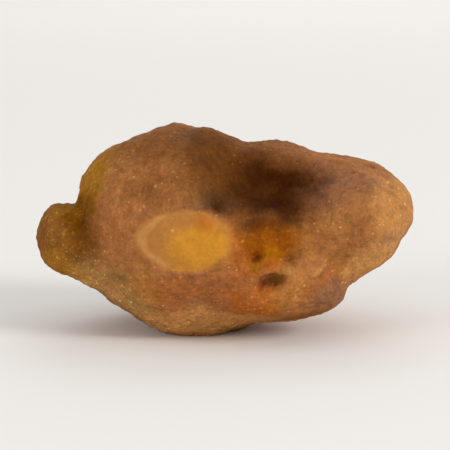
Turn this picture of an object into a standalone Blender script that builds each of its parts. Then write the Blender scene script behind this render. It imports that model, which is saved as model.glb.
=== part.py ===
"""A whole white truffle, lying on a small flat spot on its underside.

The truffle is one solid. Swollen lobes are grown into each other, then the skin
gets its soft waves, creases, hollows and pits. Metres, +Z up, and the front of
the truffle faces -Y. The origin is under the middle of the truffle, at the
level that it rests on.
"""

import math
import random

import bmesh
import bpy
import numpy as np
from mathutils import Euler, Matrix, Vector, noise
from mathutils.bvhtree import BVHTree

# Driving dimensions

LENGTH = 0.0380  # left to right
DEPTH = 0.0270  # front to back
HEIGHT = 0.0210

# The lobes, as shares of the driving dimensions: the middle is counted from the
# middle of the footprint, and the radii are half sizes. The tilt lifts a lobe's
# right end, and the turn swings its right end to the back, both in degrees.

LOBES = {
    "core": {"middle": (0.000, 0.00, 0.480), "radii": (0.400, 0.410, 0.400), "tilt": 4, "turn": 0},
    "crown": {"middle": (-0.100, 0.02, 0.520), "radii": (0.255, 0.430, 0.450), "tilt": -4, "turn": 0},
    "shoulder": {"middle": (-0.205, -0.02, 0.580), "radii": (0.178, 0.340, 0.325), "tilt": 0, "turn": 8},
    "bridge": {"middle": (0.020, 0.03, 0.540), "radii": (0.290, 0.380, 0.362), "tilt": -15, "turn": 0},
    "right": {"middle": (0.280, -0.02, 0.540), "radii": (0.226, 0.340, 0.276), "tilt": 6, "turn": -6},
    "right_low": {"middle": (0.368, -0.03, 0.434), "radii": (0.090, 0.240, 0.144), "tilt": 24, "turn": 0},
    "nose": {"middle": (-0.385, -0.06, 0.454), "radii": (0.116, 0.190, 0.172), "tilt": 0, "turn": 12},
    "nose_tip": {"middle": (-0.428, -0.05, 0.398), "radii": (0.058, 0.140, 0.115), "tilt": -20, "turn": 12},
    "nose_root": {"middle": (-0.300, -0.04, 0.430), "radii": (0.130, 0.250, 0.226), "tilt": -12, "turn": 8},
    "belly": {"middle": (0.140, -0.10, 0.318), "radii": (0.222, 0.330, 0.234), "tilt": 4, "turn": 4},
    "belly_corner": {"middle": (0.264, -0.12, 0.226), "radii": (0.055, 0.180, 0.095), "tilt": 0, "turn": 4},
    "heel": {"middle": (-0.098, 0.02, 0.300), "radii": (0.272, 0.350, 0.298), "tilt": -10, "turn": 0},
    "back_left": {"middle": (-0.190, 0.24, 0.400), "radii": (0.185, 0.225, 0.310), "tilt": 0, "turn": 14},
    "back_right": {"middle": (0.175, 0.22, 0.510), "radii": (0.215, 0.245, 0.290), "tilt": -10, "turn": -12},
    "back_knob": {"middle": (-0.010, 0.34, 0.480), "radii": (0.120, 0.140, 0.200), "tilt": 20, "turn": 0},
    "back_low": {"middle": (0.080, 0.28, 0.270), "radii": (0.130, 0.180, 0.180), "tilt": 10, "turn": 0},
    "back_high": {"middle": (-0.080, 0.26, 0.720), "radii": (0.110, 0.170, 0.170), "tilt": 0, "turn": 20},
}
LOBE_SEGMENTS = 48
LOBE_RINGS = 32

# The skin's mesh

SKIN_VOXEL = 0.00040
SOFTEN_STEPS = 45
SOFTEN_SHARE = 0.5
TRIANGLES = 11500

# Soft waves all over the skin: wavelength, height

WAVES = ((0.0105, 0.00060), (0.0052, 0.00030), (0.0024, 0.00011))
WAVE_SEED = Vector((3.1, 7.7, 1.9))

# Winding creases, which come and go over the skin

CREASE_SPACING = 0.0085
CREASE_HALF_WIDTH = 0.17
CREASE_DEPTH = 0.00038
CREASE_SEED = Vector((11.3, 2.4, 5.8))

# Marks that are pressed into the front. Each is (across, up) where a line from
# the front meets the skin, (half width, half height), depth, turn in degrees and
# edge: 2 is a soft bowl, and more is a flatter floor with a firmer rim.

FRONT_MARKS = {
    "bald_patch": ((-0.0042, 0.0103), (0.0054, 0.0036), 0.00028, -4, 5),
    "shaded_hollow": ((0.0042, 0.0156), (0.0092, 0.0056), 0.00170, -6, 2),
    "amber_hollow": ((0.0048, 0.0110), (0.0052, 0.0038), 0.00070, 0, 2),
    "long_pit": ((0.0045, 0.0067), (0.0019, 0.0011), 0.00065, 8, 3),
    "round_pit": ((0.0033, 0.0089), (0.0011, 0.0007), 0.00035, 0, 3),
    "right_pit": ((0.0068, 0.0088), (0.0014, 0.0009), 0.00025, 25, 2),
    "dimple": ((-0.0003, 0.0138), (0.0018, 0.0015), 0.00050, -20, 2),
    "under_fold": ((0.0100, 0.0066), (0.0060, 0.0026), 0.00070, 32, 2),
}

# Marks that are placed by a direction from the middle: (direction), (half width,
# half height), depth, turn and edge. The first two cut into the outline that the
# front shows, and the others are on the sides that it doesn't show.

OTHER_MARKS = {
    "nose_notch": ((-0.98, 0.00, 0.18), (0.0090, 0.0018), 0.00090, 0, 2),
    "undercut": ((0.90, -0.07, -0.43), (0.0090, 0.0017), 0.00070, 0, 2),
    "root_hollow": ((0.25, 0.90, -0.10), (0.0042, 0.0034), 0.00200, 20, 2),
    "back_furrow": ((-0.50, 0.80, 0.30), (0.0075, 0.0018), 0.00150, 62, 2),
    "back_cleft": ((0.16, 0.95, 0.42), (0.0062, 0.0015), 0.00120, 112, 2),
    "top_saddle": ((0.24, 0.36, 0.90), (0.0046, 0.0068), 0.00110, 0, 2),
    "top_furrow": ((-0.30, -0.05, 0.95), (0.0070, 0.0016), 0.00060, 70, 2),
    "left_dent": ((-0.85, 0.50, 0.05), (0.0036, 0.0050), 0.00070, 15, 2),
    "right_furrow": ((0.84, 0.54, 0.10), (0.0050, 0.0016), 0.00110, -55, 2),
    "under_furrow": ((0.55, 0.35, -0.80), (0.0070, 0.0018), 0.00080, 40, 2),
}
MARK_FALL = 3.0

# Clusters of small pits: (direction that the cluster faces), count

PIT_CLUSTERS = {
    "back": ((0.50, 0.85, 0.10), 5),
    "back_left": ((-0.75, 0.65, -0.05), 3),
    "top": ((-0.35, 0.30, 0.90), 3),
    "right": ((0.97, -0.05, -0.20), 3),
    "underside": ((0.62, 0.20, -0.78), 4),
    "heel": ((-0.55, 0.30, -0.75), 3),
}
PIT_SPREAD = 0.17
PIT_RADII = (0.00070, 0.00125)
PIT_DEPTH = 0.45  # of the radius
PIT_EDGE = 2.5
PIT_SEED = 21

# The flat spot that the truffle rests on

REST_CUT = 0.00075

SKIN_COLOUR = (0.335, 0.150, 0.048, 1.0)
SKIN_ROUGHNESS = 0.55


def clear_scene():
    for old in list(bpy.data.objects):
        bpy.data.objects.remove(old, do_unlink=True)


def in_metres(shares):
    return Vector((shares[0] * LENGTH, shares[1] * DEPTH, shares[2] * HEIGHT))


def add_lobe(name, middle, radii, tilt, turn):
    """An egg-shaped lobe, standing where it grew."""
    bpy.ops.mesh.primitive_uv_sphere_add(segments=LOBE_SEGMENTS, ring_count=LOBE_RINGS, radius=1.0)
    lobe = bpy.context.active_object
    lobe.name = name
    lobe.scale = in_metres(radii)
    lobe.rotation_euler = Euler((0.0, math.radians(-tilt), math.radians(turn)))
    lobe.location = in_metres(middle)
    return lobe


def apply_modifier(body, kind, **settings):
    modifier = body.modifiers.new(kind.title(), kind)
    for setting, value in settings.items():
        setattr(modifier, setting, value)
    bpy.context.view_layer.objects.active = body
    bpy.ops.object.modifier_apply(modifier=modifier.name)


def grow_together(lobes):
    """One closed skin round all the lobes, with the folds between them softened."""
    bpy.ops.object.select_all(action="DESELECT")
    for lobe in lobes:
        lobe.select_set(True)
    body = lobes[0]
    bpy.context.view_layer.objects.active = body
    bpy.ops.object.join()
    bpy.ops.object.transform_apply(location=True, rotation=True, scale=True)
    apply_modifier(body, "REMESH", mode="VOXEL", voxel_size=SKIN_VOXEL)
    apply_modifier(body, "SMOOTH", factor=SOFTEN_SHARE, iterations=SOFTEN_STEPS)
    return body


def skin_of(body):
    """The skin's points and the directions that they face."""
    count = len(body.data.vertices)
    points = np.empty(count * 3)
    facing = np.empty(count * 3)
    body.data.vertices.foreach_get("co", points)
    body.data.vertices.foreach_get("normal", facing)
    return points.reshape(-1, 3), facing.reshape(-1, 3)


def set_skin(body, points):
    body.data.vertices.foreach_set("co", points.ravel())
    body.data.update()


def wave_height(point):
    return sum(height * noise.noise(Vector(point) / length + WAVE_SEED) for length, height in WAVES)


def crease_depth(point):
    """Deepest on the winding lines where one noise crosses zero, in regions that another picks."""
    place = Vector(point) / CREASE_SPACING + CREASE_SEED
    line = math.exp(-((noise.noise(place) / CREASE_HALF_WIDTH) ** 2))
    region = min(1.0, max(0.0, 3.0 * noise.noise(place * 0.6 + CREASE_SEED)))
    return CREASE_DEPTH * line * region


def roughen(body):
    points, facing = skin_of(body)
    heights = np.array([wave_height(p) - crease_depth(p) for p in points])
    set_skin(body, points + facing * heights[:, None])


def place_from(tree, direction, across=0.0, up=HEIGHT / 2):
    """Where a line from outside meets the skin, and the direction that the skin faces there."""
    outward = Vector(direction).normalized()
    start = Vector((across, 0.0, up)) + outward * LENGTH
    place, facing, _, _ = tree.ray_cast(start, -outward)
    return place, facing


def press(points, place, facing, half_size, depth, turn, edge):
    """Pushes an oval of the skin inwards."""
    sideways = Vector((0.0, 0.0, 1.0)).cross(facing)
    if sideways.length < 0.1:
        sideways = Vector((1.0, 0.0, 0.0))
    sideways.normalize()
    upwards = facing.cross(sideways)
    spin = Matrix.Rotation(math.radians(turn), 3, facing)
    offset = points - np.array(place)
    u = offset @ np.array(spin @ sideways) / half_size[0]
    v = offset @ np.array(spin @ upwards) / half_size[1]
    w = offset @ np.array(facing) / (2.0 * max(half_size))
    share = np.exp(-MARK_FALL * np.sqrt(u * u + v * v + w * w) ** edge)
    return points - np.array(facing) * (depth * share)[:, None]


def tree_of(body):
    mesh = bmesh.new()
    mesh.from_mesh(body.data)
    tree = BVHTree.FromBMesh(mesh)
    mesh.free()
    return tree


def mark_skin(body):
    points, _ = skin_of(body)
    tree = tree_of(body)
    front = (0.0, -1.0, 0.0)
    for (across, up), half_size, depth, turn, edge in FRONT_MARKS.values():
        place, facing = place_from(tree, front, across, up)
        points = press(points, place, facing, half_size, depth, turn, edge)
    for direction, half_size, depth, turn, edge in OTHER_MARKS.values():
        place, facing = place_from(tree, direction)
        points = press(points, place, facing, half_size, depth, turn, edge)
    draw = random.Random(PIT_SEED)
    for middle, count in PIT_CLUSTERS.values():
        for _ in range(count):
            direction = Vector([share + draw.gauss(0, PIT_SPREAD) for share in middle])
            place, facing = place_from(tree, direction)
            radius = draw.uniform(*PIT_RADII)
            half_size = (radius * draw.uniform(1.0, 1.7), radius)
            turn = draw.uniform(0, 180)
            points = press(points, place, facing, half_size, PIT_DEPTH * radius, turn, PIT_EDGE)
    set_skin(body, points)


def fit_to_size(body):
    """Sets the three driving dimensions, the middle of the footprint and the flat spot."""
    points, _ = skin_of(body)
    points[:, 2] = np.maximum(points[:, 2], points[:, 2].min() + REST_CUT)
    lowest = points.min(axis=0)
    sides = points.max(axis=0) - lowest
    points = (points - lowest) / sides - np.array((0.5, 0.5, 0.0))
    set_skin(body, points * np.array((LENGTH, DEPTH, HEIGHT)))


def skin_material():
    material = bpy.data.materials.new("truffle_skin")
    material.use_nodes = True
    shader = material.node_tree.nodes["Principled BSDF"]
    shader.inputs["Base Color"].default_value = SKIN_COLOUR
    shader.inputs["Roughness"].default_value = SKIN_ROUGHNESS
    shader.inputs["Metallic"].default_value = 0.0
    material.diffuse_color = SKIN_COLOUR
    return material


def build_truffle():
    lobes = [add_lobe(name, **lobe) for name, lobe in LOBES.items()]
    body = grow_together(lobes)
    roughen(body)
    mark_skin(body)
    fit_to_size(body)
    share = TRIANGLES / (2 * len(body.data.polygons))
    apply_modifier(body, "DECIMATE", ratio=share, use_collapse_triangulate=True)
    body.name = "truffle"
    body.data.name = "truffle"
    body.data.materials.clear()
    body.data.materials.append(skin_material())
    body.data.shade_smooth()
    group = bpy.data.collections.new("white_truffle")
    bpy.context.scene.collection.children.link(group)
    for old in list(body.users_collection):
        old.objects.unlink(body)
    group.objects.link(body)


clear_scene()
build_truffle()
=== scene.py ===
# %% [markdown]
# # A white truffle
#
# A white truffle is a fungus that grows underground as one firm lump, pressed out
# of round by the roots and stones near it. Its skin is thin, matte and finely
# grained, tan to rosy brown, with furrows, small pits and bald places where the
# skin has rubbed off. This lesson starts from a plain closed solid that already has
# the lobes, furrows and larger pits, and gives it that skin.

# %% Load the plain solid
import math

import bpy
import numpy as np
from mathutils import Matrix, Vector, noise


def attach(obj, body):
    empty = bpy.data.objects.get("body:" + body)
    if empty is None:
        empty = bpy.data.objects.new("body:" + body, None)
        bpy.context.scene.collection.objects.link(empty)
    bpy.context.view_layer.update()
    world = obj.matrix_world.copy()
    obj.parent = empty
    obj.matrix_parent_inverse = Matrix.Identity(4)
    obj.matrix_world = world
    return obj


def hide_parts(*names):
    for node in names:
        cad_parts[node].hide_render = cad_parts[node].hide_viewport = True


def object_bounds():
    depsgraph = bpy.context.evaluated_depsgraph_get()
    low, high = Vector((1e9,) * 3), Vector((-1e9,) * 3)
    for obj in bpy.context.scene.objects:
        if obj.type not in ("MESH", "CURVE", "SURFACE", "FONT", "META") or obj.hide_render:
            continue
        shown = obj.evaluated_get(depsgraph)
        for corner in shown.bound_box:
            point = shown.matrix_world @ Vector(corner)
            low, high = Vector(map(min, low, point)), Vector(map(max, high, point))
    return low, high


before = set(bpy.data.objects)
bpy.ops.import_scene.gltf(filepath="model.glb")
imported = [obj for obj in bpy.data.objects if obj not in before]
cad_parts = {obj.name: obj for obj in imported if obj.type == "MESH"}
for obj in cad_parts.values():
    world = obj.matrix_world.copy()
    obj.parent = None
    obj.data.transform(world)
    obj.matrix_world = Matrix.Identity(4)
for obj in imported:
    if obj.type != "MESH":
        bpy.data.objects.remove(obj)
solid_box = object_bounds()
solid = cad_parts["truffle"]
MM = 0.001
print("faces in the solid:", len(solid.data.polygons))
print("its box in mm:", [[round(side / MM, 2) for side in corner] for corner in solid_box])

# %% [markdown]
# ## Finding places on the truffle
#
# The features of the front are placed where the photograph shows them, so this
# lesson needs a way from a place in the picture to a point on the solid. The view
# is from straight ahead and 8 degrees above. A ray is cast along it at a distance
# across from the truffle's middle, and up from its lowest edge in the picture, both
# in millimetres. Features could be placed by eye in the viewport instead, but numbers
# are easier to correct, and they find the same place again after the solid changes.
# What the picture doesn't show is placed by the direction it faces.

# %% Two ways to find a place
VIEW_ANGLE = math.radians(8)
RAY_START = 0.1  # metres, well outside the truffle

view_direction = Vector((0, math.cos(VIEW_ANGLE), -math.sin(VIEW_ANGLE)))
picture_up = Vector((0, math.sin(VIEW_ANGLE), math.cos(VIEW_ANGLE)))
picture_base = min(corner.co.dot(picture_up) for corner in solid.data.vertices)
solid_middle = (Vector(solid_box[0]) + Vector(solid_box[1])) / 2


def place_in_picture(across, up):
    """The point on the solid that the picture shows there, and the way it faces."""
    on_picture = Vector((across * MM, 0, 0)) + picture_up * (picture_base + up * MM)
    start = on_picture - view_direction * RAY_START
    hit, place, facing, _ = solid.ray_cast(start, view_direction)
    if not hit:
        raise ValueError(f"the truffle isn't at {across}, {up}")
    return place, facing


def place_facing(x, y, z):
    """The point on the solid that faces away from its middle in a direction."""
    outward = Vector((x, y, z)).normalized()
    start = solid_middle + outward * RAY_START
    _, place, facing, _ = solid.ray_cast(start, -outward)
    return place, facing


print("the middle of the bald patch:", place_in_picture(-4.3, 9.7)[0])

# %% [markdown]
# ## A finer skin
#
# The solid has triangles of half a millimetre and more, too coarse for grain and
# the rims of pits. A copy gets its loose triangles merged, one level of subdivision
# to round them, and then a remesh into even squares of 0.2 mm, which the fine
# relief can bend. Even squares take sculpting better than a second subdivision,
# which would crowd points in the pits and starve the smooth parts.

# %% Copy the solid and merge its loose triangles
MERGE_DISTANCE = 0.01 * MM

bpy.ops.object.select_all(action="DESELECT")
skin = bpy.data.objects.new("truffle_skin", solid.data.copy())
bpy.context.scene.collection.objects.link(skin)
skin.data.materials.clear()
skin.select_set(True)
bpy.context.view_layer.objects.active = skin

bpy.ops.object.mode_set(mode="EDIT")
bpy.ops.mesh.select_all(action="SELECT")
bpy.ops.mesh.remove_doubles(threshold=MERGE_DISTANCE)
bpy.ops.object.mode_set(mode="OBJECT")
print("points after merging:", len(skin.data.vertices))

# %% Make its mesh fine and even
SKIN_SQUARE = 0.20 * MM
SMOOTH_FACTOR = 0.5
STEP_SMOOTHING = 4  # times, enough to take off the steps that the remesh leaves


def apply_modifier(piece, kind, **settings):
    """Adds one modifier, sets it up and applies it."""
    modifier = piece.modifiers.new(kind.title(), kind)
    for setting, value in settings.items():
        setattr(modifier, setting, value)
    bpy.context.view_layer.objects.active = piece
    bpy.ops.object.modifier_apply(modifier=modifier.name)


apply_modifier(skin, "SUBSURF", levels=1, render_levels=1)
apply_modifier(skin, "REMESH", mode="VOXEL", voxel_size=SKIN_SQUARE)
apply_modifier(skin, "SMOOTH", factor=SMOOTH_FACTOR, iterations=STEP_SMOOTHING)
print("squares in the fine skin:", len(skin.data.polygons))

# %% [markdown]
# ## Reading the relief
#
# Soil, stain and shadow gather in the pits and furrows of a truffle, so the relief
# and the colours both need to know how deep each point of the skin lies. A smoothed
# copy of the skin is a level to measure from: where the skin lies below it, that is
# a hollow. Little smoothing finds the pits, and much smoothing finds the furrows
# and the folds between lobes.

# %% Measure how deep each point lies
PIT_SMOOTHING = 65  # times
FOLD_SMOOTHING = 650


def read_skin(piece):
    """The points of a mesh and the ways they face, as arrays."""
    count = len(piece.data.vertices)
    points = np.empty(count * 3)
    facings = np.empty(count * 3)
    piece.data.vertices.foreach_get("co", points)
    piece.data.vertices.foreach_get("normal", facings)
    return points.reshape(-1, 3), facings.reshape(-1, 3)


def write_skin(piece, points):
    piece.data.vertices.foreach_set("co", points.ravel())
    piece.data.update()


def depth_below(piece, smoothing):
    """How far each point lies under the smoothed skin, in mm."""
    level = piece.copy()
    level.data = piece.data.copy()
    bpy.context.scene.collection.objects.link(level)
    apply_modifier(level, "SMOOTH", factor=SMOOTH_FACTOR, iterations=smoothing)
    points, facings = read_skin(piece)
    level_points, _ = read_skin(level)
    bpy.data.objects.remove(level)
    return ((level_points - points) * facings).sum(axis=1) / MM


pit_depth = depth_below(skin, PIT_SMOOTHING)
fold_depth = depth_below(skin, FOLD_SMOOTHING)
print("deepest pit in mm:", round(pit_depth.max(), 2))
print("deepest fold in mm:", round(fold_depth.max(), 2))

# %% [markdown]
# ## Ovals on the skin
#
# The bald patches and the pits all lie in ovals. They could be painted as vertex
# weights by hand, but a formula is sharper than a brush on a mesh this fine, and can
# be corrected. One function gives how far each point is from the middle of an oval,
# as a share of the way to its edge. Nothing that grew has a clean outline, so a noise
# moves the edge in and out.

# %% Helpers for noise and soft edges


def noise_on(points, size, shift=(0, 0, 0)):
    """A smooth noise of a size across, from about -0.7 to 0.7, at every point."""
    moved = points / size + np.array(shift)
    return np.array([noise.noise(Vector(point)) for point in moved])


def soft_step(values, start, end):
    """Rises smoothly from 0 to 1 between two values, or falls where start is the larger."""
    share = np.clip((values - start) / (end - start), 0, 1)
    return share * share * (3 - 2 * share)


print("halfway up a soft step:", soft_step(np.array([0.5]), 0, 1)[0])

# %% Ovals that lie on the skin
OVAL_DEPTH = 2  # how deep it reaches, in times its larger half size
POINT_LIMIT = 1.2  # how far out a pointed oval goes on narrowing
WANDER_SIZE = 0.4  # size of the edge's waves, as a share of the oval's half size
WANDER_REACH = 2.5  # no point further out than this is moved


def directions_on_skin(facing, turn):
    """The directions to the right and up at a place on the skin, turned by degrees."""
    right = Vector((0, 0, 1)).cross(facing).normalized()
    up = facing.cross(right)
    turned = math.radians(turn)
    along = right * math.cos(turned) + up * math.sin(turned)
    across = up * math.cos(turned) - right * math.sin(turned)
    return np.array(along), np.array(across)


def oval(points, spot, half_sizes, turn=0, pointed=0, wander=0):
    """The share of the way from an oval's middle to its edge, and the place along it."""
    place, facing = spot
    along, across = directions_on_skin(facing, turn)
    offset = (points - np.array(place)) / MM
    u = offset @ along / half_sizes[0]
    v = offset @ across / half_sizes[1]
    w = offset @ np.array(facing) / (OVAL_DEPTH * max(half_sizes))
    v = v * (1 + pointed * np.clip(-u, 0, POINT_LIMIT))
    share = np.sqrt(u * u + v * v + w * w)
    if wander:
        near = share < WANDER_REACH
        wave_size = WANDER_SIZE * (half_sizes[0] + half_sizes[1]) / 2 * MM
        share[near] += wander * noise_on(points[near], wave_size)
    return share, u


points, facings = read_skin(skin)
print("points to measure:", len(points))

# %% [markdown]
# ## The bald patches
#
# On the front, the skin has come off an oval about a centimetre long. The flesh in
# it is smooth and lies a little lower. It is golden in a rounder area on the right
# and ochre at the pointed left end, where a paler band runs along inside the edge.
# A second, smaller patch is on the back, which the photograph doesn't show. A cut
# through the mesh would give each a hard rim, so they are soft masks, one number to a
# point, and the relief and the colours use the same ones.

# %% Where the bald patches are
front_spot = place_in_picture(-4.2, 9.55)
back_spot = place_facing(-0.34, 0.90, -0.14)
golden_spot = place_in_picture(-2.4, 9.0)

front_patch, front_along = oval(points, front_spot, (4.85, 3.2), pointed=0.28, wander=0.10)
back_patch, back_along = oval(
    points, back_spot, (3.2, 2.0), turn=28, pointed=0.30, wander=0.22
)
golden_oval, _ = oval(points, golden_spot, (4.3, 3.2), turn=16, wander=0.15)
print("the front patch is centred at:", front_spot[0])

# %% Masks for the bald flesh and its colours
EDGE_BLUR = 0.07  # half width of the soft edge, as a share of the patch
RIGHT_BLUR = 0.10  # what the right end adds, where the flesh fades into the skin
BACK_BALD = 0.85
BACK_GOLD = 0.45
BACK_EDGE = 1.20
LIP_PLACE, LIP_WIDTH = 1.07, 0.07
BAND_PLACE, BAND_WIDTH = 0.84, 0.10

edge_blur = EDGE_BLUR + RIGHT_BLUR * soft_step(front_along, 0.2, 0.9)
bald = soft_step(front_patch, 1 + edge_blur, 1 - edge_blur)
bald = np.maximum(bald, BACK_BALD * soft_step(back_patch, BACK_EDGE, 0.75))
from_lip = (np.minimum(front_patch, back_patch) - LIP_PLACE) / LIP_WIDTH
lip = np.exp(-(from_lip**2))

golden = soft_step(golden_oval, 1.15, 0.25)
golden_back = BACK_GOLD * soft_step(back_along, -0.3, 0.8) * (back_patch < BACK_EDGE)
golden = np.maximum(golden, golden_back)
from_band = (front_patch - BAND_PLACE) / BAND_WIDTH
band = np.exp(-(from_band**2)) * soft_step(front_along, 0.05, -0.60)
print("points in the bald patches:", int((bald > 0.5).sum()))

# %% [markdown]
# ## Pits that the photograph shows
#
# Under the dark hollow are three small pits, and the solid has a plain dent at each.
# Here each dent gets a smaller and firmer pit with a ragged outline, made of two
# ovals that overlap. The dimple beside the bald patch and the patch itself get one
# shallow pit each. A boolean cut would leave sharp walls, so the points are pressed
# down along a steep but smooth curve.

# %% Ragged pits on the front
FRONT_PITS = (
    # what it is, across and up in the picture, half sizes in mm, turn, depth in mm
    ("left pit", (3.35, 8.20), (0.60, 0.36), -4, 0.11),
    ("its left end", (2.70, 8.25), (0.45, 0.25), 10, 0.06),
    ("right pit", (6.40, 7.85), (0.48, 0.46), 25, 0.09),
    ("its upper end", (6.95, 8.40), (0.50, 0.24), 35, 0.05),
    ("long pit", (4.95, 5.90), (1.20, 0.60), 6, 0.19),
    ("its left end", (3.70, 5.55), (0.68, 0.75), -32, 0.14),
    ("dimple", (-0.90, 12.9), (0.70, 0.50), -25, 0.06),
    ("speck in the patch", (-3.1, 9.60), (0.22, 0.18), 0, 0.08),
)
PIT_WANDER = 0.40
WALL_STEEPNESS = 3
PIT_REACH = 3  # shares are capped here, where nothing is left of the pit

pressed = np.zeros(len(points))
for _, (across, up), half_sizes, turn, depth in FRONT_PITS:
    spot = place_in_picture(across, up)
    share, _ = oval(points, spot, half_sizes, turn, wander=PIT_WANDER)
    wall = np.exp(-(np.clip(share, 0, PIT_REACH) ** WALL_STEEPNESS))
    pressed = np.maximum(pressed, depth * wall)
print("deepest of these pits in mm:", round(pressed.max(), 2))

# %% [markdown]
# ## Furrows on the hidden sides
#
# Where two lobes met as the truffle grew, a narrow winding furrow is left. The
# photograph shows none on the front, so these run over the top, the back, the ends
# and the underside. A crease brush could draw them. Here each follows a line over a
# few places, shaken by a noise so that it winds, and fades at both ends.

# %% Lines for the furrows
FURROWS = (
    # half width and depth in mm, and the directions of the places that it passes
    (0.30, 0.26, (0.12, 0.95, 0.20), (0.08, 0.95, -0.10), (0.22, 0.90, -0.40), (0.45, 0.75, -0.62)),
    (0.26, 0.22, (-0.48, 0.80, 0.34), (-0.62, 0.60, 0.55), (-0.50, 0.30, 0.85)),
    (0.28, 0.22, (0.10, 0.20, 0.97), (0.34, 0.02, 0.93), (0.58, 0.16, 0.78), (0.74, 0.45, 0.52)),
    (0.24, 0.18, (-0.80, 0.10, 0.55), (-0.55, 0.36, 0.75), (-0.25, 0.55, 0.80)),
    (0.28, 0.22, (0.95, 0.10, 0.35), (0.95, 0.34, 0.02), (0.78, 0.34, -0.52)),
    (0.28, 0.22, (-0.66, 0.20, -0.70), (-0.34, 0.50, -0.78), (0.10, 0.62, -0.78)),
    (0.26, 0.20, (-0.90, 0.42, 0.20), (-0.74, 0.66, -0.10), (-0.42, 0.86, -0.36)),
)
FURROW_STEPS = 30  # places between two directions


def line_on_skin(directions):
    """Places close together on the skin, under a line through some directions."""
    corners = [Vector(direction).normalized() for direction in directions]
    places = []
    for first, second in zip(corners, corners[1:]):
        for step in range(FURROW_STEPS):
            place, _ = place_facing(*first.lerp(second, step / FURROW_STEPS))
            places.append(place)
    return np.array(places)


lines = [line_on_skin(directions) for _, _, *directions in FURROWS]
print("places along the furrows:", sum(len(line) for line in lines))

# %% Winding furrows
WINDING_SIZE = 1.8 * MM
WINDING_WIDTH = 0.8 * MM
WINDING_SHIFTS = ((0.5, 2.7, 6.1), (4.5, 2.7, 6.1), (8.5, 2.7, 6.1))  # one for each axis

windings = [noise_on(points, WINDING_SIZE, shift) for shift in WINDING_SHIFTS]
windings = np.stack(windings, axis=1) * WINDING_WIDTH
windings -= facings * (windings * facings).sum(axis=1)[:, None]  # only along the skin
shaken_points = points + windings

furrow = np.zeros(len(points))
for (half_width, depth, *_), line in zip(FURROWS, lines):
    nearest = np.full(len(points), np.inf)
    strength = np.zeros(len(points))
    for number, place in enumerate(line):
        away = np.linalg.norm(shaken_points - place, axis=1)
        closer = away < nearest
        nearest[closer] = away[closer]
        strength[closer] = math.sin(math.pi * (number + 0.5) / len(line)) ** 0.5
    cut = np.exp(-((nearest / (half_width * MM)) ** 2))
    furrow = np.maximum(furrow, depth * strength * cut)
print("points in the furrows:", int((furrow > 0.05).sum()))

# %% [markdown]
# ## Fine relief
#
# The skin shrinks a little as it dries, which leaves low swellings and short
# shallow wrinkles between them. Winding wrinkles are where a smooth noise crosses
# zero, and a second noise fades them in and out, so that they are short and never
# cover the whole skin. A Displace modifier could add each of these, but worked out
# point by point they can leave the bald patches smooth.

# %% Swellings, grain and wrinkles
SWELLING_SIZE, SWELLING_HEIGHT = 2.6 * MM, 0.15 * MM
RIPPLE_SIZE, RIPPLE_HEIGHT = 1.1 * MM, 0.110 * MM
GRAIN_SIZE, GRAIN_RELIEF = 0.55 * MM, 0.080 * MM
WRINKLES = (
    # spacing, half width, depth and where the noises are read
    (3.6 * MM, 0.060, 0.13 * MM, (4.2, 1.3, 9.1)),
    (2.0 * MM, 0.085, 0.07 * MM, (8.8, 5.9, 2.3)),
)
WRINKLE_REGION = 7.9 * MM

swelling = noise_on(points, SWELLING_SIZE, (0.3, 5.1, 2.2)) * SWELLING_HEIGHT
ripple = noise_on(points, RIPPLE_SIZE, (7.7, 0.4, 3.5)) * RIPPLE_HEIGHT
grain = noise_on(points, GRAIN_SIZE, (1.9, 8.3, 6.4)) * GRAIN_RELIEF

wrinkle = np.zeros(len(points))
for spacing, half_width, depth, shift in WRINKLES:
    crease = np.exp(-((noise_on(points, spacing, shift) / half_width) ** 2))
    region = soft_step(noise_on(points, WRINKLE_REGION, shift), -0.10, 0.30)
    wrinkle = np.maximum(wrinkle, crease * region * depth)
print("points in wrinkles:", int((wrinkle > 0.03 * MM).sum()))

# %% [markdown]
# The nose and the low left edge are crumbly in the photograph, so small lumps are
# raised there. Where a noise is below zero it is cut off, which leaves single crumbs
# on a plain skin and not waves.

# %% Crumbs on the nose and low on the left
CRUMB_SIZE, CRUMB_HEIGHT = 0.60 * MM, 0.18 * MM
CRUMBLY_NOSE = (-11, -15)  # across in mm, where the crumbs start and where they are full
CRUMBLY_EDGE = (2.0, -1.5)  # the same in mm, above a line that falls towards the right
CRUMBLY_SLOPE = 0.45

across_mm = points[:, 0] / MM
up_mm = points[:, 2] / MM
on_nose = soft_step(across_mm, *CRUMBLY_NOSE)
on_low_edge = soft_step(up_mm + CRUMBLY_SLOPE * across_mm, *CRUMBLY_EDGE)
crumbly = np.maximum(on_nose, on_low_edge)
crumbs = np.clip(noise_on(points, CRUMB_SIZE, (3.3, 3.9, 1.1)), 0, 1) * CRUMB_HEIGHT * crumbly
print("points where crumbs are full:", int((crumbly > 0.99).sum()))

# %% [markdown]
# All of these are added up and each point moves that far along its facing. The pits
# of the solid are pressed deeper and get a low rim, the bald patches sink, and the
# flat spot on the underside stays on the ground.

# %% Move the points
PIT_STARTS, PIT_FULL = 0.05, 0.22  # in mm
RIM_STARTS, RIM_FULL = 0.02, 0.10
PIT_EXTRA = 0.20 * MM
RIM_HEIGHT = 0.05 * MM
BALD_DEPTH = 0.11 * MM
LIP_HEIGHT = 0.040 * MM
REST_LEVEL = 0.04 * MM

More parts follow.
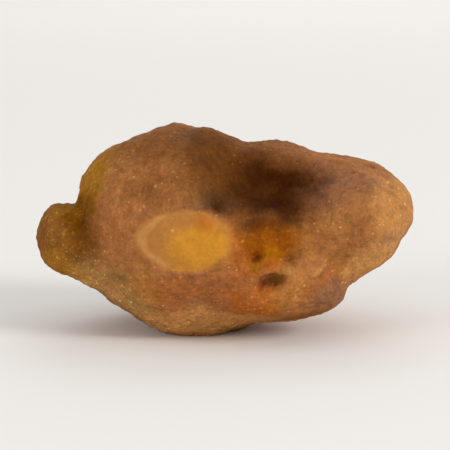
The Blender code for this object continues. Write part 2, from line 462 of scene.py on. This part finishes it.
in_pit = soft_step(pit_depth, PIT_STARTS, PIT_FULL)
at_rim = soft_step(-pit_depth, RIM_STARTS, RIM_FULL)
covered = 1 - bald
height = (swelling + 0.5 * ripple) + covered * (0.5 * ripple + grain + crumbs - wrinkle)
height += at_rim * RIM_HEIGHT - in_pit * PIT_EXTRA - (pressed + furrow) * MM
height += lip * LIP_HEIGHT - bald * BALD_DEPTH
points = points + facings * height[:, None]
points[:, 2] = np.where(points[:, 2] < REST_LEVEL, 0.0, points[:, 2])
write_skin(skin, points)
print("lowest and highest relief in mm:", height.min() / MM, height.max() / MM)

# %% [markdown]
# The colours need to know the pits, the furrows and the bald patches too, so these
# are kept on the mesh as attributes, one number to a point. A texture would need a
# UV map and would blur them.

# %% Keep the measures on the mesh
measures = {
    "pit_depth": depth_below(skin, PIT_SMOOTHING),
    "fold_depth": fold_depth,
    "bald": bald,
    "golden": golden,
    "bald_band": band,
    "front_pits": pressed,
    "furrow": furrow,
}
for name, values in measures.items():
    measure = skin.data.attributes.new(name, "FLOAT", "POINT")
    measure.data.foreach_set("value", values.astype(np.float32))
    print(name, "goes from", round(float(values.min()), 2), "to", round(float(values.max()), 2))

bpy.ops.object.select_all(action="DESELECT")
skin.select_set(True)
bpy.context.view_layer.objects.active = skin
bpy.ops.object.shade_smooth()

# %% [markdown]
# ## The skin's material
#
# Truffle skin is a thin layer of packed fungal threads, something between suede and
# the peel of a potato. It scatters light a little under the surface, is rough, and
# has next to no shine. Its colours could be painted on an image, but nodes give the
# same detail at any distance and need no UV map. Sixteen named colours do for the
# whole skin, and one function turns a hex colour into Blender's linear values.

# %% Colours of the skin
COLOURS = {
    "rosy tan": "#A0673C",
    "ochre tan": "#A87438",
    "pale tan": "#C08B50",
    "olive amber": "#724302",
    "olive gold": "#A06C0C",
    "olive grey": "#9A7542",
    "moss": "#684A12",
    "umber": "#6C4018",
    # This dark brown is stain in the pores, and painted shadow in the hollows and under the crown.
    "stain and shade": "#341200",
    "slate": "#3C3022",
    "lilac grey": "#7C5645",
    "amber": "#904C02",
    "honey": "#AC6C02",
    "rust": "#A9581A",
    "gold flesh": "#C4872A",
    "ochre flesh": "#AE763A",
}


def linear(hex_colour):
    """A hex colour such as #9E6A3E as linear red, green, blue and alpha."""
    shares = [int(hex_colour[i : i + 2], 16) / 255 for i in (1, 3, 5)]
    return [s / 12.92 if s <= 0.04045 else ((s + 0.055) / 1.055) ** 2.4 for s in shares] + [1.0]


print("rosy tan in linear values:", [round(share, 3) for share in linear(COLOURS["rosy tan"])])

# %% [markdown]
# A node needs the same three steps each time: add it, set it up, link it. One small
# function does them, and short ones built on it give the nodes that this skin uses
# most: sums, masks, noises, and one colour laid over another.

# %% Helpers for nodes
skin_paint = bpy.data.materials.new("truffle_skin_suede")
skin_paint.use_nodes = True
tree = skin_paint.node_tree
shader = tree.nodes["Principled BSDF"]


def add_node(kind, settings, inputs):
    """Adds a node. Inputs are values or the sockets that feed them."""
    node = tree.nodes.new(kind)
    for name, value in settings.items():
        setattr(node, name, value)
    for name, value in inputs.items():
        if isinstance(value, bpy.types.NodeSocket):
            tree.links.new(value, node.inputs[name])
        else:
            node.inputs[name].default_value = value
    return node


def add_maths(operation, first, second):
    node = add_node("ShaderNodeMath", {"operation": operation}, {0: first, 1: second})
    return node.outputs["Value"]


def add_range(value, low, high, most=1.0, least=0.0):
    """A mask that goes smoothly from its least to its most as a value goes from low to high."""
    limits = {"Value": value, "From Min": low, "From Max": high, "To Min": least, "To Max": most}
    node = add_node("ShaderNodeMapRange", {"interpolation_type": "SMOOTHSTEP"}, limits)
    return node.outputs["Result"]


def add_noise(place, size, detail=2.0, roughness=0.5):
    settings = {"Vector": place, "Scale": 1 / size, "Detail": detail, "Roughness": roughness}
    return add_node("ShaderNodeTexNoise", {}, settings)


def lay_over(colour, mask, over, blend="MIX"):
    """Lays a colour over the one so far, where the mask says."""
    if isinstance(over, str):
        over = linear(COLOURS[over])
    settings = {"data_type": "RGBA", "blend_type": blend}
    laid = add_node("ShaderNodeMix", settings, {"Factor": mask, 6: colour, 7: over})
    return laid.outputs[2]


def read_measure(name, low, high, most=1.0):
    """A measure kept on the mesh, turned into a mask."""
    kept = add_node("ShaderNodeAttribute", {"attribute_name": name}, {})
    return add_range(kept.outputs["Fac"], low, high, most)


skin_place = add_node("ShaderNodeTexCoord", {}, {}).outputs["Object"]
print("nodes so far:", len(tree.nodes))

# %% [markdown]
# ### Wandering outlines
#
# Stains on a truffle have outlines that wander. The places that the nodes read are
# shaken by noises first, so that every zone laid out with them wanders too. Large
# zones are shaken by up to two millimetres and small marks by a third of one.

# %% Shaken places


def shake(place, size, width):
    """Moves a place about by a noise, in every direction."""
    waves = add_noise(place, size)
    centred = add_node(
        "ShaderNodeVectorMath",
        {"operation": "SUBTRACT"},
        {0: waves.outputs["Color"], 1: (0.5, 0.5, 0.5)},
    )
    moved = add_node(
        "ShaderNodeVectorMath",
        {"operation": "MULTIPLY_ADD"},
        {0: centred.outputs["Vector"], 1: (2 * width, 2 * width, 2 * width), 2: place},
    )
    return moved.outputs["Vector"]


nudged_place = shake(skin_place, 0.8 * MM, 0.30 * MM)
shaken_place = shake(shake(skin_place, 3.4 * MM, 1.7 * MM), 0.9 * MM, 0.55 * MM)
print("nodes so far:", len(tree.nodes))

# %% [markdown]
# ### Base colour
#
# Between its marks the skin drifts from rosy tan to ochre and to a greyish brown,
# over four to eight millimetres, with no edges. A noise of that size picks the
# colour from a ramp, which a mix of two colours couldn't do for five.

# %% Drifting base colour
DRIFT_SIZE = 6.5 * MM
DRIFT_COLOURS = (
    (0.22, "lilac grey"),
    (0.42, "rosy tan"),
    (0.54, "rosy tan"),
    (0.66, "ochre tan"),
    (0.80, "pale tan"),
)

drift = add_noise(skin_place, DRIFT_SIZE, 3.0, 0.55)
drift_ramp = add_node("ShaderNodeValToRGB", {}, {"Fac": drift.outputs["Fac"]})
ramp = drift_ramp.color_ramp
while len(ramp.elements) < len(DRIFT_COLOURS):
    ramp.elements.new(0.5)
for element, (position, name) in zip(ramp.elements, DRIFT_COLOURS):
    element.position = position
    element.color = linear(COLOURS[name])
colour = drift_ramp.outputs["Color"]
print("nodes so far:", len(tree.nodes))

# %% [markdown]
# ### Colour zones
#
# Each zone is a soft ellipsoid in the skin. A Mapping node set to Texture moves,
# turns and shrinks space so that the zone becomes a ball of radius one, the length
# of the result says how far out a point is, and Map Range turns that into a soft
# mask. Painting them on a texture would need a UV map with seams, and a lump like this
# has no good place for a seam.

# %% A soft zone
SMALL_ZONE = 1.2  # half heights in mm under this are shaken less


def zone_mask(place, half_sizes, turn, softness, strength):
    """A soft mask, strongest at a place and gone outside an ellipsoid round it."""
    small = half_sizes[2] < SMALL_ZONE
    settings = {
        "Vector": nudged_place if small else shaken_place,
        "Location": place,
        "Rotation": (0, -math.radians(turn), 0),
        "Scale": [half * MM for half in half_sizes],
    }
    unit_ball = add_node("ShaderNodeMapping", {"vector_type": "TEXTURE"}, settings)
    from_middle = {0: unit_ball.outputs["Vector"]}
    far = add_node("ShaderNodeVectorMath", {"operation": "LENGTH"}, from_middle)
    return add_range(far.outputs["Value"], 1 + softness, 1 - softness, strength)


# %% [markdown]
# The hidden sides come first, so that the zones of the front cover them where they meet. They get
# the same kinds of zone as the front: an olive nose, an amber hollow darkened with painted shade,
# pale crests and lilac grey patches.

# %% Zones on the hidden sides
HIDDEN_SOFTNESS = 0.7
HIDDEN_ZONES = (
    # colour, direction it faces, half sizes in mm, strength
    ("olive gold", (-0.84, 0.20, 0.42), (3.4, 5.0, 4.4), 0.45),
    ("olive amber", (-1.00, 0.10, -0.05), (5.6, 5.6, 5.2), 0.95),
    ("olive grey", (-0.86, 0.46, -0.22), (3.4, 3.4, 3.0), 0.55),
    ("pale tan", (0.85, 0.50, -0.10), (4.4, 4.0, 3.8), 0.80),
    ("amber", (0.42, 0.85, 0.00), (4.2, 3.0, 3.2), 0.80),
    # Painted shade darkens the amber hollow on the back and one furrow there.
    ("stain and shade", (0.25, 0.90, -0.12), (2.8, 2.6, 2.4), 0.70),
    ("stain and shade", (-0.50, 0.80, 0.30), (1.5, 3.0, 4.2), 0.40),
    ("umber", (0.14, 0.95, 0.45), (1.6, 3.0, 3.2), 0.45),
    ("pale tan", (-0.72, 0.55, 0.30), (3.4, 4.0, 4.0), 0.65),
    ("olive grey", (-0.66, 0.70, -0.28), (3.4, 3.4, 2.6), 0.65),
    ("lilac grey", (-0.25, 0.88, -0.30), (3.4, 3.5, 2.8), 0.85),
    ("lilac grey", (0.70, 0.45, 0.55), (3.4, 3.4, 2.4), 0.85),
    ("slate", (0.62, 0.55, 0.50), (1.3, 1.6, 0.9), 0.45),
    ("ochre tan", (-0.12, 0.60, 0.80), (3.6, 3.6, 2.6), 0.75),
    ("umber", (0.35, 0.10, 0.95), (3.6, 4.6, 3.0), 0.80),
    ("rosy tan", (-0.45, 0.20, 0.90), (4.6, 4.0, 2.6), 0.70),
    ("olive grey", (-0.20, -0.10, -0.97), (6.0, 5.0, 2.4), 0.70),
    ("rust", (0.55, 0.10, -0.80), (4.4, 4.2, 3.0), 0.65),
    ("olive grey", (-0.60, 0.30, -0.70), (4.6, 4.2, 3.0), 0.70),
)
for name, direction, half_sizes, strength in HIDDEN_ZONES:
    place, _ = place_facing(*direction)
    mask = zone_mask(place, half_sizes, 0, HIDDEN_SOFTNESS, strength)
    colour = lay_over(colour, mask, name)
print("hidden zones:", len(HIDDEN_ZONES), "nodes so far:", len(tree.nodes))

# %% [markdown]
# The zones of the front are features that the photograph shows, each named here: the olive amber
# nose, the dark hollow, the amber one under it, the lilac grey and the pale places on the right.
# The dark hollow, the crown and the dimple are painted shadow, and the pale right rim, the keel,
# the low left rim, the top of the nose and a streak are painted light. Later ones cover earlier
# ones, so the small marks come after the large zone that they lie in.

# %% Zones that the photograph shows
ZONE_DEPTH = 5.5  # how far a zone reaches front to back, half its size in mm
DEPTH_PER_HEIGHT = 3  # flat zones reach less far

FRONT_ZONES = (
    # what it is, colour, across and up in mm, half width and height, turn, softness, strength
    ("left of the body", "rosy tan", (-9.4, 11.5), (4.6, 6.0), 0, 0.5, 0.85),
    ("flank over the nose", "olive gold", (-13.9, 14.6), (1.9, 4.6), -24, 0.30, 0.80),
    ("nose", "olive amber", (-17.4, 10.4), (4.6, 5.6), 0, 0.22, 0.98),
    ("band beside the nose", "umber", (-13.6, 9.6), (1.1, 3.6), -4, 0.5, 0.45),
    ("low on the left", "olive grey", (-11.0, 4.4), (5.0, 2.6), -30, 0.5, 0.85),
    # Painted light: the rim low on the left is paler, as though lit from below.
    ("rim low on the left", "pale tan", (-12.6, 5.2), (2.6, 1.1), -32, 0.6, 0.65),
    ("under the nose", "olive gold", (-16.3, 6.9), (2.6, 1.3), -18, 0.6, 0.70),
    # Painted light: the top of the nose is lightened against the shade of the notch beside it.
    ("top of the nose", "olive gold", (-16.5, 12.7), (2.0, 0.9), 0, 0.8, 0.60),
    ("small grey spot", "slate", (-10.3, 5.9), (0.7, 0.5), 0, 0.8, 0.45),
    # Painted shadow: the crown, the place right of it and its edge are darkened where the top lay
    # in shadow.
    ("crown", "umber", (-5.8, 20.0), (6.5, 2.6), 8, 0.5, 0.55),
    ("right of the crown", "umber", (-1.8, 18.4), (3.4, 4.0), 0, 0.6, 0.96),
    ("shadow of the crown", "stain and shade", (-1.0, 18.0), (3.2, 3.2), 20, 0.8, 0.35),
    ("over the patch", "umber", (-4.9, 14.4), (4.4, 1.5), 0, 0.6, 0.45),
    ("under the patch", "rust", (-4.4, 4.9), (5.4, 1.6), 0, 0.6, 0.25),
    # Painted light: the keel along the bottom is paler, as though the underside were lit from
    # below.
    ("keel", "pale tan", (-2.4, 1.2), (6.4, 2.0), 0, 0.5, 0.85),
    ("beside the patch", "rust", (1.3, 8.6), (1.4, 2.8), 0, 0.7, 0.65),
    ("right of the amber", "ochre tan", (7.2, 9.2), (1.9, 1.9), 0, 0.7, 0.55),
    ("amber hollow", "amber", (4.3, 9.3), (2.7, 2.3), 0, 0.5, 0.92),
    ("honey glow", "honey", (4.6, 8.1), (0.9, 0.9), 0, 0.8, 0.70),
    ("honey corner", "honey", (2.8, 6.9), (0.8, 0.7), 0, 0.8, 0.60),
    ("orange between the pits", "rust", (4.5, 7.3), (1.1, 0.6), 0, 0.8, 0.45),
    ("right pit's stain", "umber", (6.6, 8.0), (1.0, 0.60), 40, 0.8, 0.50),
    ("low red", "rust", (2.9, 3.4), (2.5, 1.5), 10, 0.6, 0.85),
    ("honey by the low red", "honey", (4.6, 3.2), (0.8, 0.9), 0, 0.8, 0.35),
    ("low middle", "ochre tan", (7.7, 4.6), (1.9, 1.6), 0, 0.7, 0.45),
    ("rust in it", "rust", (7.7, 4.8), (1.8, 1.3), 0, 0.8, 0.35),
    ("lilac, high", "lilac grey", (10.4, 14.2), (3.0, 2.2), -10, 0.7, 0.85),
    # Painted shadow: the dark hollow, its rims, the dimple and its core are darkened where a
    # neighbouring truffle cast its shadow. The relief under them is only a shallow hollow and pit.
    ("hollow", "umber", (3.2, 14.9), (5.8, 4.2), -8, 0.5, 0.90),
    ("middle of the hollow", "stain and shade", (4.6, 14.8), (4.2, 3.0), -10, 0.8, 0.90),
    ("core of the hollow", "stain and shade", (4.7, 15.0), (2.8, 1.7), -6, 0.8, 0.85),
    ("hollow, lower rim", "stain and shade", (5.4, 12.4), (3.4, 1.4), -4, 0.7, 0.62),
    ("red shadow", "stain and shade", (2.6, 11.1), (1.5, 0.6), 6, 0.7, 0.55),
    ("shade by the dimple", "stain and shade", (0.9, 12.6), (2.4, 1.0), -24, 0.8, 0.50),
    ("dimple", "slate", (-1.2, 13.1), (1.5, 1.2), -20, 0.8, 0.60),
    ("dimple's core", "stain and shade", (-0.8, 12.9), (0.7, 0.5), -40, 0.8, 0.40),
    ("right of the body", "rosy tan", (11.8, 10.8), (3.0, 2.8), 0, 0.8, 0.85),
    ("shade in it", "umber", (11.8, 10.6), (2.6, 2.4), 0, 0.8, 0.34),
    # Painted light: the right rim is paler where the light falls from the right.
    ("right rim", "pale tan", (17.2, 12.8), (3.0, 4.6), -10, 0.6, 0.68),
    ("right rim, low", "pale tan", (15.0, 7.8), (3.2, 1.8), 35, 0.6, 0.80),
    ("grey spot on the rim", "lilac grey", (16.3, 9.9), (1.0, 0.6), 20, 0.8, 0.65),
    # Lilac grey is the lobe's own tone, and here under the right lobe it is darkened with painted
    # shade as well.
    ("lilac, low", "lilac grey", (10.1, 4.3), (2.2, 1.7), 30, 0.6, 0.75),
    ("rust by the streak", "rust", (9.9, 6.2), (1.2, 0.5), 30, 0.8, 0.28),
    # Painted highlight along a fold.
    ("pale streak", "pale tan", (8.95, 6.5), (1.05, 0.24), 38, 0.8, 0.95),
    ("pale spot", "pale tan", (7.0, 4.4), (0.4, 0.6), 0, 0.8, 0.40),
    ("pale rim of the long pit", "pale tan", (6.1, 6.9), (0.8, 0.4), -10, 0.8, 0.40),
    ("lower edge", "olive amber", (8.3, 2.2), (3.4, 0.6), 6, 0.6, 0.75),
)
for _, name, (across, up), (half_width, half_height), turn, softness, strength in FRONT_ZONES:
    place, _ = place_in_picture(across, up)
    half_depth = min(ZONE_DEPTH, DEPTH_PER_HEIGHT * half_height)
    half_sizes = (half_width, half_depth, half_height)
    mask = zone_mask(place, half_sizes, turn, softness, strength)
    colour = lay_over(colour, mask, name)
print("front zones:", len(FRONT_ZONES), "nodes so far:", len(tree.nodes))

# %% [markdown]
# ### Folds and crests
#
# The folds between lobes are darkened towards umber, with stain and painted shade together, and
# crests are made paler. Blender's Pointiness could find both, but only in one renderer and by the
# size of the triangles, so the depth kept on the mesh is used.

# %% Folds and crests
FOLD_STAIN_AND_SHADE = (0.05, 0.65, 0.55)  # depth in mm where it starts and is full, strength
CREST_PALING = (-0.10, -0.80, 0.30)

colour = lay_over(colour, read_measure("fold_depth", *FOLD_STAIN_AND_SHADE), "umber")
colour = lay_over(colour, read_measure("fold_depth", *CREST_PALING), "pale tan")
print("nodes so far:", len(tree.nodes))

# %% [markdown]
# ### Bald flesh
#
# Bare truffle flesh is firm and waxy, ochre where it has dried and golden where it
# is fresh, with faint streaks. The masks made for the relief say where each is, so
# that the colour's edge lies on the edge of the sunken patch. An orange tinge is at
# the upper right, as in the photograph.

# %% Bald patches
BALD_STREAK = 1.4 * MM
BALD_COVER = 0.93

flesh = linear(COLOURS["ochre flesh"])
flesh = lay_over(flesh, read_measure("golden", 0.0, 1.0), "gold flesh")
flesh = lay_over(flesh, read_measure("bald_band", 0.1, 0.9, 0.85), "pale tan")
streaks = add_noise(nudged_place, BALD_STREAK, 3.0, 0.6)
flesh = lay_over(flesh, add_range(streaks.outputs["Fac"], 0.50, 0.72, 0.50), "ochre flesh")
orange_place, _ = place_in_picture(-2.0, 11.2)
flesh = lay_over(flesh, zone_mask(orange_place, (1.1, 2.0, 0.7), -30, 0.8, 0.60), "rust")
bald_mask = read_measure("bald", 0.0, 1.0)
colour = lay_over(colour, read_measure("bald", 0.0, 1.0, BALD_COVER), flesh)
print("nodes so far:", len(tree.nodes))

# %% [markdown]
# ### Mottling
#
# Seen close, the skin is never one colour: threads and dust mottle it at sizes from
# two millimetres down to a third of one. Each size is a noise that multiplies the
# colour so far, which lightens and darkens the zones but keeps their hues. The flesh
# gets less than half as much.

# %% Mottling
MOTTLES = (
    # size in mm, detail, darkest and lightest colours to multiply by, how much
    (2.4, 2.0, (0.82, 0.80, 0.78), (1.14, 1.13, 1.11), 0.60),
    (0.8, 4.0, (0.70, 0.67, 0.65), (1.26, 1.24, 1.21), 0.60),
    (0.3, 2.0, (0.70, 0.66, 0.62), (1.26, 1.24, 1.22), 0.50),
)
MOTTLE_ROUGHNESS = 0.62
DARKEST_AT, LIGHTEST_AT = 0.32, 0.68
MOTTLE_ON_FLESH = 0.45

for size, detail, darkest, lightest, share in MOTTLES:
    mottle = add_noise(skin_place, size * MM, detail, MOTTLE_ROUGHNESS)
    mottle_ramp = add_node("ShaderNodeValToRGB", {}, {"Fac": mottle.outputs["Fac"]})
    dark_end, light_end = mottle_ramp.color_ramp.elements
    dark_end.position = DARKEST_AT
    dark_end.color = (*darkest, 1)
    light_end.position = LIGHTEST_AT
    light_end.color = (*lightest, 1)
    on_flesh = add_range(bald_mask, 0.0, 1.0, MOTTLE_ON_FLESH * share, share)
    colour = lay_over(colour, on_flesh, mottle_ramp.outputs["Color"], "MULTIPLY")
print("nodes so far:", len(tree.nodes))

# %% [markdown]
# ### Pores and specks
#
# The skin has dark pores up to 0.4 mm across, and pale specks the size of fine sand,
# thickest on the nose, low on the left and along the top. They are too many to place
# one by one. A Voronoi texture gives one point to a cell, and its
# random colour picks which cells have a dot and how large and bright it is.

# %% Scattered dots
DOT_CORE = 0.3  # share of a dot's radius where it is full


def add_dots(cell_size, radii, strengths, crowd):
    """Scattered dots. Radii are shares of a cell, and crowd is the share of cells with one."""
    smallest, largest = radii
    faintest, brightest = strengths
    cells = add_node("ShaderNodeTexVoronoi", {}, {"Vector": dot_place, "Scale": 1 / cell_size})
    draw = add_node("ShaderNodeSeparateColor", {}, {"Color": cells.outputs["Color"]})
    radius = add_range(draw.outputs["Green"], 0.0, 1.0, largest, smallest)
    core = add_maths("MULTIPLY", radius, DOT_CORE)
    dot = add_range(cells.outputs["Distance"], radius, core)
    picked = add_maths("LESS_THAN", draw.outputs["Red"], crowd)
    bright = add_range(draw.outputs["Blue"], 0.0, 1.0, brightest, faintest)
    return add_maths("MULTIPLY", add_maths("MULTIPLY", dot, picked), bright)


dot_place = shake(skin_place, 0.22 * MM, 0.05 * MM)
print("nodes so far:", len(tree.nodes))

# %% Where specks crowd together
SPECK_CROWDS = (
    # across and up in mm, half width and height, turn, share of cells with a speck
    ((-16.2, 8.4), (3.8, 4.6), -25, 0.90),
    ((-10.5, 3.8), (6.2, 2.6), -30, 0.90),
    ((-9.6, 18.0), (5.5, 2.0), 28, 0.60),
)
CROWD_SOFTNESS = 0.6
CROWD_SIZE = 4.5 * MM
SPECK_BASE, SPECK_DRIFT = 0.10, 0.30  # the least and the most elsewhere

crowd_noise = add_noise(skin_place, CROWD_SIZE).outputs["Fac"]
speck_crowd = add_range(crowd_noise, 0.40, 0.75, SPECK_DRIFT, SPECK_BASE)
for (across, up), (half_width, half_height), turn, most in SPECK_CROWDS:
    place, _ = place_in_picture(across, up)
    half_sizes = (half_width, ZONE_DEPTH, half_height)
    mask = zone_mask(place, half_sizes, turn, CROWD_SOFTNESS, most)
    speck_crowd = add_maths("MAXIMUM", speck_crowd, mask)
print("crowded places:", len(SPECK_CROWDS))

# %% Specks and pores
SPECK_SHINE = (2.2, 2.9, 3.8, 1)  # times the colour round it
LARGE_SHARE = 0.6  # share of the crowd that also gets large specks
PORE_CROWD = 0.40
FLESH_COVER = 0.7  # how much the flesh hides both

fine_specks = add_dots(0.36 * MM, (0.24, 0.50), (0.08, 0.60), speck_crowd)
large_crowd = add_maths("MULTIPLY", speck_crowd, LARGE_SHARE)
large_specks = add_dots(0.85 * MM, (0.13, 0.30), (0.20, 0.80), large_crowd)
specks = add_maths("MAXIMUM", fine_specks, large_specks)
pores = add_dots(1.15 * MM, (0.06, 0.16), (0.15, 0.75), PORE_CROWD)

not_flesh = add_maths("SUBTRACT", 1.0, add_maths("MULTIPLY", bald_mask, FLESH_COVER))
colour = lay_over(colour, add_maths("MULTIPLY", specks, not_flesh), SPECK_SHINE, "MULTIPLY")
colour = lay_over(colour, add_maths("MULTIPLY", pores, not_flesh), "stain and shade")
print("nodes so far:", len(tree.nodes))

# %% [markdown]
# ### Pits and furrows
#
# The bottom of a pit or furrow is the same skin, darkened by stain and by painted shade, so these
# multiply the colour that they lie in. That keeps the ones in amber a dark red. The long pit on the
# front also has an olive bottom.

# %% Pits and furrows
PIT_SHADE = (0.34, 0.20, 0.12, 1)
SHADED = (
    # measure, where it starts and is full in mm, strength
    ("pit_depth", 0.05, 0.42, 0.92),
    ("front_pits", 0.01, 0.17, 0.76),
    ("furrow", 0.02, 0.20, 0.65),
)
for measure_name, starts, full, strength in SHADED:
    mask = read_measure(measure_name, starts, full, strength)
    colour = lay_over(colour, mask, PIT_SHADE, "MULTIPLY")

olive_place, _ = place_in_picture(5.0, 5.85)
colour = lay_over(colour, zone_mask(olive_place, (0.8, 1.6, 0.4), 8, 0.7, 0.60), "moss")
tree.links.new(colour, shader.inputs["Base Color"])
print("nodes for the colour:", len(tree.nodes))

# %% [markdown]
# ### Surface
#
# The finest grain of the skin is too small for the mesh. Packed threads make rounded
# cells about a third of a millimetre across, which a smooth Voronoi gives, with a
# finer noise between them. More triangles could carry them, but from a step away only
# their shading shows, so both go in as bump, which fades on the smoother bald flesh.

# %% Grain
GRAIN_CELL = 0.38 * MM
GRAIN_HEIGHT = 0.16 * MM
CELL_SMOOTHNESS = 0.6
THREAD_SIZE = 0.14 * MM
THREAD_HEIGHT = 0.06 * MM
BUMP_LOST_ON_FLESH = 0.75

flesh_loss = add_maths("MULTIPLY", bald_mask, BUMP_LOST_ON_FLESH)
bump_strength = add_maths("SUBTRACT", 1.0, flesh_loss)
cells = add_node(
    "ShaderNodeTexVoronoi",
    {"feature": "SMOOTH_F1"},
    {"Vector": dot_place, "Scale": 1 / GRAIN_CELL, "Smoothness": CELL_SMOOTHNESS},
)
cell_bump = add_node(
    "ShaderNodeBump",
    {"invert": True},
    {"Height": cells.outputs["Distance"], "Strength": bump_strength, "Distance": GRAIN_HEIGHT},
)
thread_bump = add_node(
    "ShaderNodeBump",
    {},
    {
        "Height": add_noise(skin_place, THREAD_SIZE, 3.0, 0.6).outputs["Fac"],
        "Strength": bump_strength,
        "Distance": THREAD_HEIGHT,
        "Normal": cell_bump.outputs["Normal"],
    },
)
tree.links.new(thread_bump.outputs["Normal"], shader.inputs["Normal"])
print("nodes so far:", len(tree.nodes))

# %% [markdown]
# The skin is matte, with a sheen that differs from spot to spot, so the finest
# mottling also drives the roughness. The waxy flesh is a little shinier. The faint
# highlight is warm, and light goes half a millimetre into the skin, red furthest,
# which keeps the shaded side from looking like clay.

# %% Roughness, highlight and light under the skin
ROUGHEST, SMOOTHEST = 0.72, 0.58
FLESH_SMOOTHER = 0.14
UNIFORM = {
    "IOR": 1.40,
    "Specular IOR Level": 0.06,
    "Specular Tint": linear("#FFD9A8"),
    "Subsurface Weight": 0.12,
    "Subsurface Radius": (1.0, 0.45, 0.18),
    "Subsurface Scale": 0.5 * MM,
}

skin_roughness = add_range(mottle.outputs["Fac"], 0.3, 0.7, ROUGHEST, SMOOTHEST)
flesh_share = add_maths("MULTIPLY", bald_mask, FLESH_SMOOTHER)
skin_roughness = add_maths("SUBTRACT", skin_roughness, flesh_share)
tree.links.new(skin_roughness, shader.inputs["Roughness"])
for socket, value in UNIFORM.items():
    shader.inputs[socket].default_value = value
skin.data.materials.append(skin_paint)
print("nodes in the material:", len(tree.nodes))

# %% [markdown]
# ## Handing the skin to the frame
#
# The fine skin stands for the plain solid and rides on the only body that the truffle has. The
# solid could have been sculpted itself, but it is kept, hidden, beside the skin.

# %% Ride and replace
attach(skin, "root")
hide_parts("truffle")
print(skin.name, "replaces", solid.name)

# %% [markdown]
# ## The studio
#
# The light in the photograph is broad and soft, and a little stronger from the
# right. Large lamps stand well away, and none is seen by the camera. They stand
# low, because the photographed underside isn't dark. The floor is wide, flat and
# nearly white, so that it throws light back at the underside as well.

# %% Floor
FLOOR_SIDE = 6.0  # metres

bpy.ops.object.select_all(action="DESELECT")
bpy.ops.mesh.primitive_plane_add(size=FLOOR_SIDE, location=(0, 0, 0))
floor = bpy.context.active_object
floor.name = "studio_floor"
floor_paint = bpy.data.materials.new("pale_paper")
floor_paint.use_nodes = True
floor_shader = floor_paint.node_tree.nodes["Principled BSDF"]
floor_shader.inputs["Base Color"].default_value = linear("#F3F1EE")
floor_shader.inputs["Roughness"].default_value = 0.9
floor_shader.inputs["Specular IOR Level"].default_value = 0.1
floor.data.materials.append(floor_paint)
print("floor, metres across:", FLOOR_SIDE)

# %% Lamps and surroundings
LAMPS = (
    # name, place, side in metres, power in watts, colour
    ("key", (0.85, -0.55, 0.45), 0.40, 6.5, (1.0, 0.985, 0.96)),
    ("fill", (-0.75, -0.80, 0.30), 0.55, 3.6, (1.0, 1.0, 1.0)),
    ("back", (0.10, 0.85, 0.60), 0.70, 2.0, (1.0, 0.99, 0.97)),
)
for name, place, side, power, lamp_colour in LAMPS:
    lamp_data = bpy.data.lights.new(name, "AREA")
    lamp_data.size = side
    lamp_data.energy = power
    lamp_data.color = lamp_colour
    lamp = bpy.data.objects.new(name, lamp_data)
    lamp.location = place
    lamp.rotation_euler = (solid_middle - Vector(place)).to_track_quat("-Z", "Y").to_euler()
    lamp.visible_camera = False
    bpy.context.scene.collection.objects.link(lamp)

surroundings = bpy.data.worlds.new("studio")
surroundings.use_nodes = True
backdrop = surroundings.node_tree.nodes["Background"]
backdrop.inputs["Color"].default_value = (1.0, 0.995, 0.985, 1)
backdrop.inputs["Strength"].default_value = 0.60
bpy.context.scene.world = surroundings
bpy.context.scene.view_settings.view_transform = "Standard"
print("lamps:", len(LAMPS))

# %% [markdown]
# The camera looks from the photograph's angle. A long lens from further away keeps
# the perspective weak, and a short one close by would swell the middle of the
# truffle.

# %% Camera
SENSOR = 36.0  # mm
LENS = 180.0  # mm
PICTURE_SIDE = 450
TRUFFLE_WIDTH_IN_PICTURE = 372

truffle_length = solid_box[1][0] - solid_box[0][0]
seen_width = truffle_length * PICTURE_SIDE / TRUFFLE_WIDTH_IN_PICTURE
camera_data = bpy.data.cameras.new("camera")
camera_data.lens = LENS
camera_data.sensor_width = SENSOR
camera_data.clip_start = 0.01
camera_data.clip_end = 20.0
camera = bpy.data.objects.new("camera", camera_data)
camera.location = solid_middle - view_direction * (seen_width * LENS / SENSOR)
camera.rotation_euler = (math.radians(90) - VIEW_ANGLE, 0, 0)
bpy.context.scene.collection.objects.link(camera)
bpy.context.scene.camera = camera
print("the camera stands", round(seen_width * LENS / SENSOR, 3), "m away")
